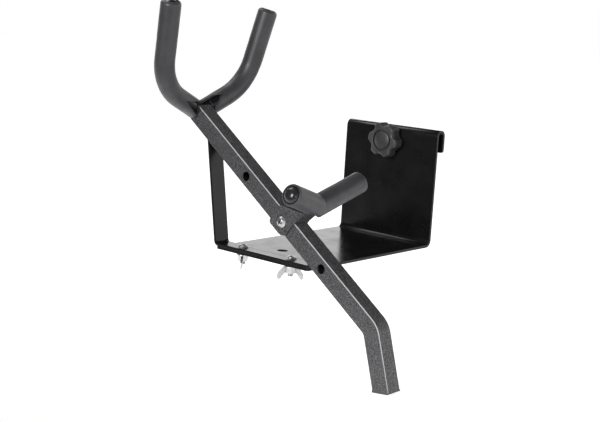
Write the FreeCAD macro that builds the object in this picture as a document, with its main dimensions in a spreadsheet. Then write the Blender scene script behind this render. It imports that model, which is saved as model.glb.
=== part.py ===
import FreeCAD, Part
import math
import os
import Sketcher

# Cradle-type wall rack: a hook bracket with a screw clamp carries a slanted square tube that
# has a padded yoke at its top, a padded V cradle at its middle and a bent foot at its bottom.
# Frame: +Z up, +Y towards the wall, X along the wall. The origin is the middle of the hook's seat.
# All lengths are millimetres and all angles are degrees.

V = FreeCAD.Vector

DIMENSIONS = {
    # hook bracket, bent from one sheet
    "bracket_width": 132.0,
    "sheet_thickness": 3.0,
    "slot_gap": 9.0,
    "hook_height": 132.0,
    "hook_drop": 26.0,
    "shelf_depth": 215.0,
    "shelf_bend_inner": 5.0,
    "hook_bend_inner": 4.0,
    "bolt_spacing": 69.0,
    "bolt_hole_radius": 3.3,
    "spare_hole_radius": 6.0,
    "nut_hole_radius": 5.5,
    # clamp screw in the panel
    "clamp_drop": 14.2,
    "stud_radius": 4.0,
    "knob_radius": 20.5,
    "knob_thickness": 14.8,
    "knob_gap": 1.6,
    "knob_lobes": 6.0,
    "pad_radius": 7.0,
    "pad_thickness": 2.0,
    # slanted square tube
    "tube_size": 20.0,
    "tube_wall": 1.5,
    "tube_slope": 35.7,
    "foot_slope": 73.7,
    "foot_bend_inner": 8.0,
    "adjust_pitch": 68.0,
    "adjust_hole_radius": 5.1,
    "plug_flange": 2.0,
    # flat support bar, bent to an L
    "bar_thickness": 3.0,
    "bar_lean": 9.0,
    "bar_bend_inner": 3.0,
    # padded yoke
    "round_tube_radius": 8.0,
    "round_tube_bore": 6.5,
    "foam_bore_radius": 8.05,
    "yoke_foam_radius": 11.0,
    "yoke_foam_overrun": 7.8,
    "yoke_near_arm": 55.2,
    "yoke_far_arm": 50.2,
    "yoke_tilt": 13.3,
    # padded cradle
    "cradle_tilt": 14.7,
    "cradle_rise": 19.4,
    "cradle_foam_radius": 11.5,
    "cradle_foam_overrun": 3.5,
    "plug_radius": 9.3,
    "plug_height": 8.2,
    "mouth_radius": 9.6,
    "cradle_near_arm": 45.0,
    "cradle_far_arm": 61.0,
    # cradle clip
    "clip_thickness": 2.0,
    "clip_clearance": 0.2,
    # screws
    "clip_hole_radius": 3.2,
    "shelf_screw_length": 18.4,
    "nut_bore_radius": 3.05,
    "washer_thickness": 1.5,
}

doc = FreeCAD.newDocument("bicycle_wall_rack")
table = doc.addObject("Spreadsheet::Sheet", "Dimensions")
for row, (alias, value) in enumerate(DIMENSIONS.items(), start=1):
    table.set("A%d" % row, alias)
    table.set("B%d" % row, str(value))
    table.setAlias("B%d" % row, alias)
doc.recompute()


def dim(alias):
    """Value of one driving dimension."""
    return float(table.get(alias))


def ref(alias):
    """Expression text that points at one driving dimension."""
    return "Dimensions." + alias


# ---------------------------------------------------------------- shared positions
SHEET = dim("sheet_thickness")
WIDTH = dim("bracket_width")
PANEL_BACK = -dim("slot_gap") / 2
PANEL_FRONT = PANEL_BACK - SHEET
SHELF_TOP = SHEET - dim("hook_height")
SHELF_FRONT = PANEL_FRONT - dim("shelf_depth")
TUBE = dim("tube_size")
ARM_Y = SHELF_FRONT + TUBE / 2
BAR_TOP = SHELF_TOP + dim("bar_thickness")
CLAMP_Z = -dim("clamp_drop")
BOLT_X = dim("bolt_spacing") / 2

SLOPE = math.radians(dim("tube_slope"))
ALONG = V(math.cos(SLOPE), 0, -math.sin(SLOPE))
ACROSS = V(math.sin(SLOPE), 0, math.cos(SLOPE))
# Where the tube's lower face meets the top of the support bar's end.
TUBE_ORIGIN = V(WIDTH / 2, ARM_Y, BAR_TOP + 0.1)
YOKE_ALONG = -226.0
FOOT_CORNER_ALONG = 100.8
CLIP_ALONG = -53.5


def on_tube(along, across):
    """World point given by its distances along and across the slanted tube's lower face."""
    return TUBE_ORIGIN + ALONG * along + ACROSS * across


YOKE_ORIGIN = on_tube(YOKE_ALONG, TUBE / 2)
CLIP_ORIGIN = on_tube(CLIP_ALONG, TUBE / 2)
CRADLE_ORIGIN = CLIP_ORIGIN + ALONG * 17.1 + ACROSS * 39.8

TURN_TUBE = FreeCAD.Rotation(V(0, 1, 0), dim("tube_slope"))
TURN_YOKE = FreeCAD.Rotation(V(0, 1, 0), dim("yoke_tilt"))
TURN_CRADLE = FreeCAD.Rotation(V(0, 1, 0), dim("cradle_tilt"))
# Turns the local +Z axis of a turned piece into +Y.
Z_TO_Y = FreeCAD.Rotation(V(1, 0, 0), -90)


# ---------------------------------------------------------------- modelling helpers
def new_body(name):
    """Empty PartDesign body with its own label."""
    body = doc.addObject("PartDesign::Body", name)
    body.Label = name
    return body


def new_sketch(body, name, role, offset=0.0):
    """Sketch on one of the body's own origin planes, moved along that plane's normal."""
    sketch = body.newObject("Sketcher::SketchObject", name)
    plane = next(item for item in body.Origin.OriginFeatures if item.Role == role)
    sketch.AttachmentSupport = [(plane, "")]
    sketch.MapMode = "FlatFace"
    sketch.AttachmentOffset = FreeCAD.Placement(V(0, 0, offset), FreeCAD.Rotation())
    return sketch


def short_arc(centre, one, two):
    """The shorter arc between two points about a centre, anticlockwise about +Z."""
    radius = centre.distanceToPoint(one)
    start = math.atan2(one.y - centre.y, one.x - centre.x)
    end = math.atan2(two.y - centre.y, two.x - centre.x)
    if (end - start) % (2 * math.pi) > math.pi:
        start, end = end, start
    return Part.ArcOfCircle(Part.Circle(centre, V(0, 0, 1), radius), start, end)


def add_closed(sketch, corners):
    """Closed outline from (x, y, radius) corners; a radius rounds that corner."""
    count = len(corners)
    first = sketch.GeometryCount
    joints = []
    for index, (x, y, radius) in enumerate(corners):
        here = V(x, y, 0)
        before = V(corners[index - 1][0], corners[index - 1][1], 0)
        after = V(corners[(index + 1) % count][0], corners[(index + 1) % count][1], 0)
        if radius == 0:
            joints.append((here, None, here))
            continue
        back = (before - here).normalize()
        ahead = (after - here).normalize()
        half = back.getAngle(ahead) / 2
        reach = radius / math.tan(half)
        bisector = (back + ahead).normalize()
        centre = here + bisector * (radius / math.sin(half))
        joints.append((here + back * reach, centre, here + ahead * reach))
    for index, (start, centre, end) in enumerate(joints):
        if centre is not None:
            sketch.addGeometry(short_arc(centre, start, end), False)
        following = joints[(index + 1) % count][0]
        if end.distanceToPoint(following) > 1e-6:
            sketch.addGeometry(Part.LineSegment(end, following), False)
    added = sketch.GeometryCount - first
    for index in range(added):
        join_ends(sketch, first + index, first + (index + 1) % added)


def join_ends(sketch, first, second):
    """Coincident constraint between the touching ends of two sketch curves."""
    one, two = sketch.Geometry[first], sketch.Geometry[second]
    pairs = [(a, b) for a in (1, 2) for b in (1, 2)]
    ends_one = {1: one.StartPoint, 2: one.EndPoint}
    ends_two = {1: two.StartPoint, 2: two.EndPoint}
    a, b = min(pairs, key=lambda pair: ends_one[pair[0]].distanceToPoint(ends_two[pair[1]]))
    sketch.addConstraint(Sketcher.Constraint("Coincident", first, a, second, b))


def add_circle(sketch, x, y, alias):
    """Circle whose radius is driven by the table."""
    index = sketch.addGeometry(Part.Circle(V(x, y, 0), V(0, 0, 1), dim(alias)), False)
    constraint = sketch.addConstraint(Sketcher.Constraint("Radius", index, dim(alias)))
    sketch.setExpression("Constraints[%d]" % constraint, ref(alias))


def pad(body, sketch, name, length, symmetric=False, reverse=False):
    """Pad whose length is an expression on the table."""
    feature = body.newObject("PartDesign::Pad", name)
    feature.Profile = sketch
    feature.setExpression("Length", length)
    feature.Midplane = symmetric
    feature.Reversed = reverse
    doc.recompute()
    return feature


def pocket(body, sketch, name, length, symmetric=False, reverse=False):
    """Pocket whose depth is an expression on the table; it must remove something."""
    before = body.Shape.Volume
    feature = body.newObject("PartDesign::Pocket", name)
    feature.Profile = sketch
    feature.setExpression("Length", length)
    feature.Midplane = symmetric
    feature.Reversed = reverse
    doc.recompute()
    if not body.Shape.Volume < before - 1e-3:
        raise RuntimeError("pocket removed nothing: " + name)
    return feature


def round_edges(body, name, radius, test):
    """PartDesign fillet on every edge of the tip that passes the test."""
    tip = body.Tip
    names = ["Edge%d" % (i + 1) for i, edge in enumerate(tip.Shape.Edges) if test(edge)]
    feature = body.newObject("PartDesign::Fillet", name)
    feature.Base = (tip, names)
    feature.Radius = radius
    doc.recompute()
    return feature


def turned(name, corners):
    """Turned piece about its local Z axis, from (radius, height, rounding) corners."""
    body = new_body(name)
    sketch = new_sketch(body, name + "_profile", "XZ_Plane")
    add_closed(sketch, corners)
    feature = body.newObject("PartDesign::Revolution", name + "_turn")
    feature.Profile = sketch
    feature.ReferenceAxis = (sketch, ["V_Axis"])
    feature.Angle = 360
    doc.recompute()
    return body


def pipe(name, radius_alias, paths):
    """Round bar swept from the local origin along each path in the local YZ plane."""
    body = new_body(name)
    profile = new_sketch(body, name + "_round", "XZ_Plane")
    add_circle(profile, 0, 0, radius_alias)
    for number, path in enumerate(paths):
        spine = new_sketch(body, "%s_path_%d" % (name, number), "YZ_Plane")
        for curve in path:
            spine.addGeometry(curve, False)
        for index in range(spine.GeometryCount - 1):
            join_ends(spine, index, index + 1)
        feature = body.newObject("PartDesign::AdditivePipe", "%s_sweep_%d" % (name, number))
        feature.Profile = profile
        feature.Spine = (spine, [])
        doc.recompute()
    return body


def cut(name, base, tools):
    """Boolean cut of one object by several others."""
    result = base
    for number, tool in enumerate(tools):
        feature = doc.addObject("Part::Cut", "%s_cut_%d" % (name, number))
        feature.Base = result
        feature.Tool = tool
        result = feature
    result.Label = name
    doc.recompute()
    return result


def group(name, members):
    """Several separate solids kept as one named piece."""
    feature = doc.addObject("Part::Compound", name)
    feature.Links = members
    feature.Label = name
    doc.recompute()
    return feature


def place(item, base, turn=FreeCAD.Rotation()):
    """Sets an object's own placement."""
    item.Placement = FreeCAD.Placement(base, turn)
    return item


pieces = []

# ---------------------------------------------------------------- hook bracket
bracket = new_body("hook_bracket")
side = new_sketch(bracket, "bracket_side", "YZ_Plane")
shelf_in = dim("shelf_bend_inner")
hook_in = dim("hook_bend_inner")
leg_end = SHEET - dim("hook_drop")
add_closed(side, [
    (SHELF_FRONT, SHELF_TOP - SHEET, 0),
    (PANEL_BACK, SHELF_TOP - SHEET, shelf_in + SHEET),
    (PANEL_BACK, 0, hook_in),
    (-PANEL_BACK, 0, hook_in),
    (-PANEL_BACK, leg_end, 0),
    (-PANEL_FRONT, leg_end, 0),
    (-PANEL_FRONT, SHEET, hook_in + SHEET),
    (PANEL_FRONT, SHEET, hook_in + SHEET),
    (PANEL_FRONT, SHELF_TOP, shelf_in),
    (SHELF_FRONT, SHELF_TOP, 0),
])
pad(bracket, side, "bracket_sheet", ref("bracket_width"), symmetric=True)


def is_sheet_corner(edge):
    """Short upright edges at the shelf's front corners and at the hook leg's lower corners."""
    box = edge.BoundBox
    at_shelf = box.ZLength > 2.9 and abs(box.YMin - SHELF_FRONT) < 0.01 and box.YLength < 0.01
    at_leg = box.YLength > 2.9 and abs(box.ZMin - leg_end) < 0.01 and box.ZLength < 0.01
    return (at_shelf or at_leg) and box.XLength < 0.01


round_edges(bracket, "bracket_corners", 2.5, is_sheet_corner)
bolt_holes = new_sketch(bracket, "shelf_holes", "XY_Plane", SHELF_TOP)
for x in (-BOLT_X, BOLT_X):
    add_circle(bolt_holes, x, ARM_Y, "bolt_hole_radius")
add_circle(bolt_holes, -8.0, -178.5, "spare_hole_radius")
pocket(bracket, bolt_holes, "shelf_drilling", ref("sheet_thickness"))
panel_hole = new_sketch(bracket, "panel_hole", "XZ_Plane", -PANEL_FRONT)
add_circle(panel_hole, 0, CLAMP_Z, "nut_hole_radius")
pocket(bracket, panel_hole, "panel_drilling", ref("sheet_thickness"))
pieces.append(bracket)

# ---------------------------------------------------------------- clamp screw
flange = 1.5
nut = turned("clinch_nut", [
    (4.08, 0, 0), (8.0, 0, 0.4), (8.0, flange, 0), (5.5, flange, 0),
    (5.5, flange + SHEET, 0), (4.08, flange + SHEET, 0),
])
place(nut, V(0, PANEL_FRONT - flange, CLAMP_Z), Z_TO_Y)
pieces.append(nut)

knob_back = PANEL_FRONT - flange - dim("knob_gap")
knob_front = knob_back - dim("knob_thickness")
knob = new_body("clamp_knob")
disc = new_sketch(knob, "knob_disc", "XY_Plane")
add_circle(disc, 0, 0, "knob_radius")
pad(knob, disc, "knob_pad", ref("knob_thickness"))
round_edges(knob, "knob_rim", 3.0, lambda edge: edge.Length > 100)
notch = new_sketch(knob, "knob_notch", "XY_Plane")
notch.addGeometry(Part.Circle(V(24.9, 0, 0), V(0, 0, 1), 8.0), False)
notch_cut = pocket(knob, notch, "knob_notch_cut", ref("knob_thickness"), reverse=True)
ring = knob.newObject("PartDesign::PolarPattern", "knob_notches")
ring.Originals = [notch_cut]
ring.Axis = (notch, ["N_Axis"])
ring.Angle = 360
ring.setExpression("Occurrences", ref("knob_lobes"))
knob.Tip = ring
doc.recompute()
RECESS_DEPTH = 3.0
recess = new_sketch(knob, "knob_recess", "XY_Plane", dim("knob_thickness") - RECESS_DEPTH)
recess.addGeometry(Part.Circle(V(0, 0, 0), V(0, 0, 1), 12.3), False)
pocket(knob, recess, "knob_recess_cut", str(RECESS_DEPTH), reverse=True)
socket = new_sketch(knob, "knob_socket", "XY_Plane")
add_circle(socket, 0, 0, "stud_radius")
pocket(knob, socket, "knob_socket_cut", "10", reverse=True)
knob_turn = FreeCAD.Rotation(V(1, 0, 0), 90).multiply(FreeCAD.Rotation(V(0, 0, 1), 22))
place(knob, V(0, knob_back, CLAMP_Z), knob_turn)
pieces.append(knob)

cap = turned("knob_cap", [
    (0, 0, 0), (10.3, 0, 0), (10.3, 2.2, 0.5), (7.6, 2.2, 0), (7.2, 1.8, 0), (6.6, 1.8, 0),
    (6.2, 2.2, 0), (0, 2.4, 0),
])
place(cap, V(0, knob_front + RECESS_DEPTH, CLAMP_Z), FreeCAD.Rotation(V(1, 0, 0), 90))
pieces.append(cap)

pad_face = 2.6
pad_back = pad_face - dim("pad_thickness")
stud_start = knob_back - 10.0
stud_length = pad_back + 1.2 - stud_start
stud = turned("clamp_stud", [
    (0, 0, 0), (4.0, 0, 0), (4.0, stud_length - 3.4, 0), (2.4, stud_length - 1.8, 0),
    (2.4, stud_length, 0.4), (0, stud_length, 0),
])
place(stud, V(0, stud_start, CLAMP_Z), Z_TO_Y)
pieces.append(stud)

pressure_pad = turned("pressure_pad", [
    (2.45, 0, 0), (7.0, 0, 0.5), (7.0, 2.0, 0.5), (0, 2.0, 0), (0, 1.25, 0), (2.45, 1.25, 0),
])
place(pressure_pad, V(0, pad_back, CLAMP_Z), Z_TO_Y)
pieces.append(pressure_pad)

# ---------------------------------------------------------------- slanted square tube
foot_angle = math.radians(dim("foot_slope"))
foot_down = V(math.cos(foot_angle), 0, -math.sin(foot_angle))
foot_out = V(math.sin(foot_angle), 0, math.cos(foot_angle))
bend_outer = on_tube(FOOT_CORNER_ALONG, TUBE)
foot_end_outer = bend_outer + foot_down * 66.4
half_bend = (foot_angle - SLOPE) / 2
# The foot's end is cut a little off square, so that it stands closer to level.
END_CUT = math.radians(-9.3)


def tube_outline(inset, extra):
    """Side outline of the bent tube, shrunk by inset and longer by extra at both ends."""
    start_low = on_tube(YOKE_ALONG + 2.0 - extra, inset)
    start_high = on_tube(YOKE_ALONG + 2.0 - extra, TUBE - inset)
    corner_shift = math.tan(half_bend)
    corner_high = on_tube(FOOT_CORNER_ALONG - inset * corner_shift, TUBE - inset)
    corner_low = on_tube(FOOT_CORNER_ALONG - (TUBE - inset) * corner_shift, inset)
    end_high = foot_end_outer - foot_out * inset + foot_down * (extra + inset * math.tan(END_CUT))
    low = TUBE - inset
    end_low = foot_end_outer - foot_out * low + foot_down * (extra + low * math.tan(END_CUT))
    inner = dim("foot_bend_inner")
    return [
        (start_low.x, start_low.z, 0),
        (corner_low.x, corner_low.z, inner + inset),
        (end_low.x, end_low.z, 0),
        (end_high.x, end_high.z, 0),
        (corner_high.x, corner_high.z, inner + TUBE - inset),
        (start_high.x, start_high.z, 0),
    ]


def square_tube(name, inset, width, extra):
    """Solid bar with the tube's side outline."""
    body = new_body(name)
    sketch = new_sketch(body, name + "_side", "XZ_Plane", -ARM_Y)
    add_closed(sketch, tube_outline(inset, extra))
    pad(body, sketch, name + "_pad", width, symmetric=True)
    return body


def runs_lengthwise(edge):
    """Edges along the tube's length, on its outer corners."""
    return edge.BoundBox.YLength < 0.01 and edge.Length > 8.0 and not is_tube_end(edge)


def is_tube_end(edge):
    """Edges of the two cut ends."""
    middle = edge.valueAt((edge.FirstParameter + edge.LastParameter) / 2)
    near_start = (middle - on_tube(YOKE_ALONG + 2.0, TUBE / 2)).dot(ALONG) < 1.0
    near_end = (middle - foot_end_outer).dot(foot_down) > -4.0
    return near_start or near_end


tube_solid = square_tube("tube_solid", 0.0, ref("tube_size"), 0.0)
round_edges(tube_solid, "tube_corners", 1.6, runs_lengthwise)
wall = dim("tube_wall")
tube_bore = square_tube("tube_bore", wall, ref("tube_size") + " - 2 * " + ref("tube_wall"), 5.0)

adjust_holes = []
for step in (-1, 0, 1):
    hole = doc.addObject("Part::Cylinder", "adjust_hole_%d" % (step + 2))
    hole.setExpression("Radius", ref("adjust_hole_radius"))
    hole.Height = 40
    at = on_tube(CLIP_ALONG + step * dim("adjust_pitch"), TUBE / 2)
    place(hole, at - V(0, 20, 0), Z_TO_Y)
    adjust_holes.append(hole)

# ---------------------------------------------------------------- yoke
FIRST_BEND = 15.0
FIRST_RISE = math.radians(26.0)
RAMP = 33.0
SECOND_BEND = 55.4
SPLAY = math.radians(6.9)


def mirror_path(path):
    """The same path on the other side of the local XZ plane."""
    flipped = []
    for curve in path:
        start = V(-curve.StartPoint.x, curve.StartPoint.y, 0)
        end = V(-curve.EndPoint.x, curve.EndPoint.y, 0)
        if isinstance(curve, Part.LineSegment):
            flipped.append(Part.LineSegment(start, end))
        else:
            flipped.append(short_arc(V(-curve.Center.x, curve.Center.y, 0), start, end))
    return flipped


def yoke_path(arm):
    """Half of the yoke's centreline, with a straight arm of the given length."""
    a = V(FIRST_BEND * math.sin(FIRST_RISE), FIRST_BEND * (1 - math.cos(FIRST_RISE)), 0)
    first = short_arc(V(0, FIRST_BEND, 0), V(0, 0, 0), a)
    b = a + V(math.cos(FIRST_RISE), math.sin(FIRST_RISE), 0) * RAMP
    centre = b + V(-math.sin(FIRST_RISE), math.cos(FIRST_RISE), 0) * SECOND_BEND
    c = centre + V(math.cos(SPLAY), -math.sin(SPLAY), 0) * SECOND_BEND
    second = short_arc(centre, b, c)
    d = c + V(math.sin(SPLAY), math.cos(SPLAY), 0) * arm
    return [first, Part.LineSegment(a, b), second, Part.LineSegment(c, d)]


yoke_overrun = dim("yoke_foam_overrun")
tube_paths = [yoke_path(dim("yoke_far_arm")), mirror_path(yoke_path(dim("yoke_near_arm")))]
foam_paths = [yoke_path(dim("yoke_far_arm") + yoke_overrun),
              mirror_path(yoke_path(dim("yoke_near_arm") + yoke_overrun))]
yoke_solid = pipe("yoke_solid", "round_tube_radius", tube_paths)
yoke_bore = pipe("yoke_bore", "round_tube_bore", foam_paths)
yoke_pad = pipe("yoke_pad", "yoke_foam_radius", foam_paths)
foam_bore = pipe("foam_bore", "foam_bore_radius", foam_paths)
for item in (yoke_solid, yoke_bore, yoke_pad, foam_bore):
    place(item, YOKE_ORIGIN, TURN_YOKE)

# The foam is slit along its side, and the slit gapes round the square tube.
slit = new_body("foam_slit")
gape = new_sketch(slit, "foam_slit_outline", "YZ_Plane")
add_closed(gape, [
    (25.0, 20.4, 0), (-3.0, 12.2, 0), (-34.0, 15.2, 0), (-13.0, -1.3, 0),
    (-10.3, -16.0, 0), (10.3, -16.0, 0), (12.7, 4.8, 0),
])
pad(slit, gape, "foam_slit_depth", "16")
place(slit, YOKE_ORIGIN, TURN_YOKE)


def end_plug(name, base, direction):
    """Domed plug pressed into the end of a round tube."""
    radius, height = dim("plug_radius"), dim("plug_height")
    plug = turned(name, [
        (0, -10, 0), (6.4, -10, 0.8), (6.4, 0, 0), (radius, 0, 0),
        (radius, height, height - 0.1), (0, height, 0),
    ])
    return place(plug, base, FreeCAD.Rotation(V(0, 0, 1), direction))


yoke_plugs = []
yoke_mouths = []
mouth_r = dim("mouth_radius")
for side_name, sign, path in (("near", -1, tube_paths[1]), ("far", 1, tube_paths[0])):
    tip = path[-1].EndPoint
    base = YOKE_ORIGIN + TURN_YOKE.multVec(V(0, tip.x, tip.y))
    ahead = TURN_YOKE.multVec(V(0, sign * math.sin(SPLAY), math.cos(SPLAY)))
    yoke_plugs.append(end_plug("yoke_plug_" + side_name, base, ahead))
    mouth = turned("yoke_mouth_" + side_name, [
        (0, 0, 0), (mouth_r, 0, 0), (mouth_r, 14, 0), (0, 14, 0),
    ])
    yoke_mouths.append(place(mouth, base, FreeCAD.Rotation(V(0, 0, 1), ahead)))

arm_tube = cut("arm_tube", tube_solid, [tube_bore, yoke_solid] + adjust_holes)
yoke_tube = cut("yoke_tube", yoke_solid, [yoke_bore])
yoke_foam = cut("yoke_foam", yoke_pad, [foam_bore, tube_solid, slit] + yoke_mouths)
pieces += [arm_tube, yoke_tube, yoke_foam, group("yoke_end_plugs", yoke_plugs)]

# ---------------------------------------------------------------- foot plug
cut_normal = foot_down * math.cos(END_CUT) + foot_out * math.sin(END_CUT)
plug_length = dim("plug_flange")


def foot_point(inward, upward):
    """Point on the foot's end face, inward from its outer edge and up along the foot."""
    reach = inward * math.tan(END_CUT)
    return foot_end_outer - foot_out * inward + foot_down * (reach - upward)


foot_plug = new_body("foot_plug")
flange_side = new_sketch(foot_plug, "foot_plug_flange", "XZ_Plane", -ARM_Y)
flange_points = [foot_point(0, 0), foot_point(TUBE, 0)]
flange_points += [point + cut_normal * plug_length for point in reversed(flange_points)]
add_closed(flange_side, [
    (point.x, point.z, rounding) for point, rounding in zip(flange_points, (0, 0, 1.2, 1.2))
])
pad(foot_plug, flange_side, "foot_plug_flange_pad", ref("tube_size"), symmetric=True)
tongue_side = new_sketch(foot_plug, "foot_plug_tongue", "XZ_Plane", -ARM_Y)
tongue_points = [foot_point(1.7, 0), foot_point(TUBE - 1.7, 0)]
tongue_points += [foot_point(TUBE - 1.7, 14), foot_point(1.7, 14)]
add_closed(tongue_side, [(point.x, point.z, 0) for point in tongue_points])
pad(foot_plug, tongue_side, "foot_plug_tongue_pad", "16.6", symmetric=True)
pieces.append(foot_plug)

# ---------------------------------------------------------------- support bar
LEAN = math.tan(math.radians(dim("bar_lean")))
BAR_OUT_X = -WIDTH / 2 - 3.2
bar_across = dim("bar_thickness") / math.cos(math.radians(dim("bar_lean")))


def under_tube(x_at_shelf):
    """Point where a leaning line that starts at the shelf meets the tube's lower face."""
    rise = math.tan(SLOPE)
    height = TUBE_ORIGIN.z - (x_at_shelf - TUBE_ORIGIN.x) * rise - SHELF_TOP
    height /= 1 - LEAN * rise
    return x_at_shelf - LEAN * height, SHELF_TOP + height


support = new_body("support_bar")
bar_side = new_sketch(support, "bar_side", "XZ_Plane", -ARM_Y)
bar_in = dim("bar_bend_inner")
bar_thick = dim("bar_thickness")
bar_end = TUBE_ORIGIN.x + (TUBE_ORIGIN.z - SHELF_TOP) / math.tan(SLOPE)
top_out = under_tube(BAR_OUT_X)
top_in = under_tube(BAR_OUT_X + bar_across)
add_closed(bar_side, [
    (bar_end, SHELF_TOP, 0),
    (BAR_OUT_X, SHELF_TOP, bar_in + bar_thick),
    (top_out[0], top_out[1], 0),
    (top_in[0], top_in[1], 0),
    (BAR_OUT_X + bar_across - LEAN * bar_thick, BAR_TOP, bar_in),
    (TUBE_ORIGIN.x + 0.1 / math.tan(SLOPE), BAR_TOP, 0),
])
pad(support, bar_side, "bar_strip", ref("tube_size"), symmetric=True)
bar_holes = new_sketch(support, "bar_holes", "XY_Plane", BAR_TOP)
for x in (-BOLT_X, BOLT_X):
    add_circle(bar_holes, x, ARM_Y, "bolt_hole_radius")
pocket(support, bar_holes, "bar_drilling", ref("bar_thickness"))
pieces.append(support)

# ---------------------------------------------------------------- shelf screws and wing nuts
screw_length = dim("shelf_screw_length")
pan_head = [(5.1, 0, 0), (5.1, 3.2, 2.3), (0, 3.4, 0)]


def pan_screw(name, length):
    """Pan-head machine screw; its head sits on the local XY plane and points up."""
    return turned(name, [(0, -length, 0), (3.0, -length, 0.4), (3.0, 0, 0)] + pan_head)


screws = []
for side_name, x in (("left", -BOLT_X), ("right", BOLT_X)):
    screws.append(place(pan_screw("shelf_screw_" + side_name, screw_length), V(x, ARM_Y, BAR_TOP)))
pieces.append(group("shelf_screws", screws))

SHELF_BOTTOM = SHELF_TOP - SHEET
wing_turn = {"left": 126.0, "right": 45.0}
for side_name, x in (("left", -BOLT_X), ("right", BOLT_X)):
    washer = turned("wing_washer_" + side_name, [
        (3.2, 0, 0), (6.5, 0, 0.3), (6.5, dim("washer_thickness"), 0.3),
        (3.2, dim("washer_thickness"), 0),
    ])
    place(washer, V(x, ARM_Y, SHELF_BOTTOM - dim("washer_thickness")))
    wing = turned("wing_nut_" + side_name, [
        (3.08, 0, 0), (6.6, 0, 0.4), (5.2, 7.6, 0.8), (3.08, 7.6, 0),
    ])
    wings = new_sketch(wing, "wings_" + side_name, "XZ_Plane")
    for sign in (-1, 1):
        add_closed(wings, [
            (sign * 4.6, 0.8, 0), (sign * 7.6, 1.0, 1.5), (sign * 14.0, 8.6, 4.0),
            (sign * 14.2, 14.4, 2.2), (sign * 9.6, 14.4, 1.8), (sign * 4.6, 6.6, 0),
        ])
    pad(wing, wings, "wing_plates_" + side_name, "2.4", symmetric=True)
    flip = FreeCAD.Rotation(V(0, 0, 1), wing_turn[side_name])
    flip = flip.multiply(FreeCAD.Rotation(V(1, 0, 0), 180))
    place(wing, V(x, ARM_Y, SHELF_BOTTOM - dim("washer_thickness")), flip)
    pieces += [washer, wing]

# ---------------------------------------------------------------- padded cradle
RISE = math.radians(dim("cradle_rise"))
CRADLE_BEND = 9.0


def cradle_path(length):
    """One arm of the cradle's V, from its lowest point."""
    a = V(CRADLE_BEND * math.sin(RISE), CRADLE_BEND * (1 - math.cos(RISE)), 0)
    first = short_arc(V(0, CRADLE_BEND, 0), V(0, 0, 0), a)
    b = a + V(math.cos(RISE), math.sin(RISE), 0) * (length - CRADLE_BEND * RISE)
    return [first, Part.LineSegment(a, b)]


near_path = mirror_path(cradle_path(dim("cradle_near_arm")))
far_path = cradle_path(dim("cradle_far_arm"))
long_paths = [mirror_path(cradle_path(dim("cradle_near_arm") + 1)),
              cradle_path(dim("cradle_far_arm") + 1)]
cradle_solid = pipe("cradle_solid", "round_tube_radius", [near_path, far_path])
cradle_bore = pipe("cradle_bore", "round_tube_bore", long_paths)
for item in (cradle_solid, cradle_bore):
    place(item, CRADLE_ORIGIN, TURN_CRADLE)
cradle_tube = cut("cradle_tube", cradle_solid, [cradle_bore])
pieces.append(cradle_tube)

# ---------------------------------------------------------------- cradle clip
# Local X runs down the square tube, local Z stands off it and the origin is the clip's screw.
CHEEK_INNER = TUBE / 2 + dim("clip_clearance")
CHEEK_OUTER = CHEEK_INNER + dim("clip_thickness")
WEB_OUT = 13.1
WEB_FOOT = TUBE / 2 + 0.3
WEB_KNEE = 12.0
WEB_LEAN = 0.256


def web_face(height):
    """Local X of the web's downhill face; the web leans downhill above its knee."""
    return WEB_OUT + WEB_LEAN * max(0.0, height - WEB_KNEE)


def web_back(height):
    """Local X of the web's uphill face."""
    return web_face(height) - dim("clip_thickness") * math.sqrt(1 + WEB_LEAN ** 2)


CHEEK_TOP = 26.9
WEB_TOP = 40.0
clip = new_body("clip_solid")
cheeks = new_sketch(clip, "clip_cheeks", "XZ_Plane")
add_closed(cheeks, [
    (web_face(CHEEK_TOP), CHEEK_TOP, 0.8), (WEB_OUT, WEB_KNEE, 0), (WEB_OUT, -12.0, 9.0),
    (-13.2, -12.0, 3.5), (-13.2, 11.9, 4.0),
])
full_width = "%s + 2 * (%s + %s)" % (
    ref("tube_size"), ref("clip_clearance"), ref("clip_thickness"))
inner_width = "%s + 2 * %s" % (ref("tube_size"), ref("clip_clearance"))
pad(clip, cheeks, "clip_block", full_width, symmetric=True)
web = new_sketch(clip, "clip_web", "XZ_Plane")
add_closed(web, [
    (web_back(22.0), 22.0, 0), (web_face(22.0), 22.0, 0),
    (web_face(WEB_TOP), WEB_TOP, 0), (web_back(WEB_TOP), WEB_TOP, 0),
])
pad(clip, web, "clip_web_pad", full_width, symmetric=True)
hollow = new_sketch(clip, "clip_hollow", "XZ_Plane")
add_closed(hollow, [
    (-20, -20, 0), (20, -20, 0), (20, WEB_FOOT, 0), (web_back(WEB_FOOT), WEB_FOOT, 0),
    (web_back(WEB_KNEE), WEB_KNEE, 0), (web_back(45), 45, 0), (-20, 45, 0),
])
pocket(clip, hollow, "clip_hollow_cut", inner_width, symmetric=True)
pivot = new_sketch(clip, "clip_pivot", "XZ_Plane")
add_circle(pivot, 0, 0, "clip_hole_radius")
pocket(clip, pivot, "clip_pivot_cut", "40", symmetric=True)
place(clip, CLIP_ORIGIN, TURN_TUBE)
cradle_clip = cut("cradle_clip", clip, [cradle_solid])
pieces.append(cradle_clip)

# The two foam sleeves meet in a mitre above the clip and are notched underneath round its web.
notch_block = doc.addObject("Part::Box", "foam_notch")
notch_block.Length, notch_block.Width, notch_block.Height = 24.0, 28.0, 40.0
notch_corner = CLIP_ORIGIN + ALONG * 2.0 - V(0, 14.0, 0) - ACROSS * 2.6
place(notch_block, notch_corner, TURN_TUBE)

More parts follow.
